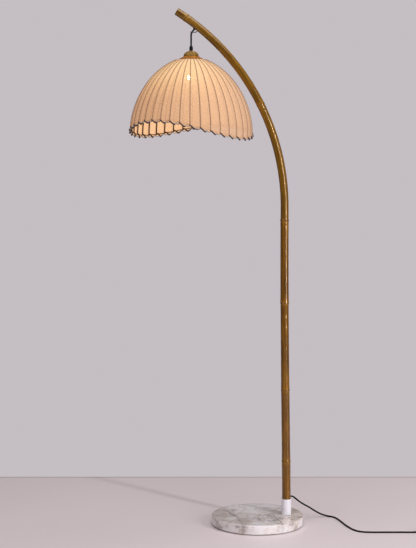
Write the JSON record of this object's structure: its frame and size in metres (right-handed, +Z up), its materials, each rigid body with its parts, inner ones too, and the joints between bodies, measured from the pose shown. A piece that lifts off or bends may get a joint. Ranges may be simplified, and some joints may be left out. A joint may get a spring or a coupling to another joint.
{
  "type": "arc floor lamp",
  "caption": "Floor lamp on a marble disc: a bamboo pole whose arched top swivels, and a pleated linen dome shade hung on its flex; mains flex with foot switch and plug.",
  "frame": {"origin": "centre of the base disc's underside, on the floor", "axes": "+Z up the pole, -X the way the arch leans over the base, +Y towards the side where the mains flex leaves the pole"},
  "size_m": [1.0506, 0.3681, 1.5652],
  "materials": {
    "marble": "polished, brown and grey veins",
    "felt": "felt",
    "white_steel": "gloss white",
    "steel": "zinc plated",
    "bamboo": "gloss varnish",
    "arch_bamboo": "gloss varnish",
    "turned_wood": "satin varnish",
    "black_flex": "satin",
    "black_plastic": "moulded",
    "dark_metal": "bronzed",
    "linen": "pleated linen, lit from inside",
    "wrapped_wire": "tape-bound wire",
    "piping": "corded piping",
    "holder_plastic": "moulded",
    "ceramic": "satin",
    "brass": "plated",
    "bulb_glass": "opal"
  },
  "bodies": {
    "base": {"base_pad": "felt", "base_slab": "marble", "socket_tube": "white_steel", "set_screw": "steel", "base_washer": "steel", "base_bolt": "steel", "pole_lower": "bamboo", "joint_spigot": "steel", "cord_gland": "black_plastic", "inner_cord_lower": "black_flex", "switch_base": "black_plastic", "switch_cover": "black_plastic", "switch_screw_1": "steel", "switch_screw_2": "steel", "switch_block": "brass", "mains_cord": "black_flex", "mains_cord_tail": "black_flex", "cord_coil": "black_flex", "coil_tie": "felt", "mains_cord_end": "black_flex", "plug_relief": "black_plastic", "plug_body": "black_plastic", "plug_blade_1": "brass", "plug_blade_2": "brass"},
    "pedal_button": {"switch_button": "black_plastic"},
    "arc": {"pole_arc": "arch_bamboo", "arc_grommet": "black_plastic", "inner_cord_upper": "black_flex", "cord_hook": "dark_metal", "pendant_cord_top": "black_flex"},
    "flex_upper": {"pendant_cord_mid": "black_flex"},
    "flex_lower": {"pendant_cord_low": "black_flex"},
    "shade": {"cord_grip": "black_plastic", "nipple": "steel", "cap_dome": "turned_wood", "cap_flange": "turned_wood", "holder_cap": "holder_plastic", "holder_skirt": "holder_plastic", "shade_ring": "holder_plastic", "holder_insert": "ceramic", "holder_shell": "brass", "bulb_cap": "brass", "bulb_glass": "bulb_glass", "shade_frame": "wrapped_wire", "shade_fabric": "linen", "hem_piping": "piping"}
  },
  "joints": [
    {"name": "arc_swivel", "type": "hinge", "parent": "base", "child": "arc", "pos_m": [0.079, 0, 0.936], "axis": [0, 0, 1], "range_deg": [-90, 90]},
    {"name": "shade_swing", "type": "hinge", "parent": "arc", "child": "flex_upper", "pos_m": [-0.2024, 0, 1.484], "axis": [0, 1, 0], "range_deg": [-4, 25]},
    {"name": "shade_tilt", "type": "hinge", "parent": "flex_upper", "child": "flex_lower", "pos_m": [-0.2024, 0, 1.468], "axis": [1, 0, 0], "range_deg": [-20, 20]},
    {"name": "shade_twist", "type": "hinge", "parent": "flex_lower", "child": "shade", "pos_m": [-0.2024, 0, 1.44], "axis": [0, 0, 1], "range_deg": [-180, 180]},
    {"name": "switch_press", "type": "slide", "parent": "base", "child": "pedal_button", "axis": [0, 0, -1], "range_m": [0, 0.003], "stiffness_N_per_m": 900}
  ]
}
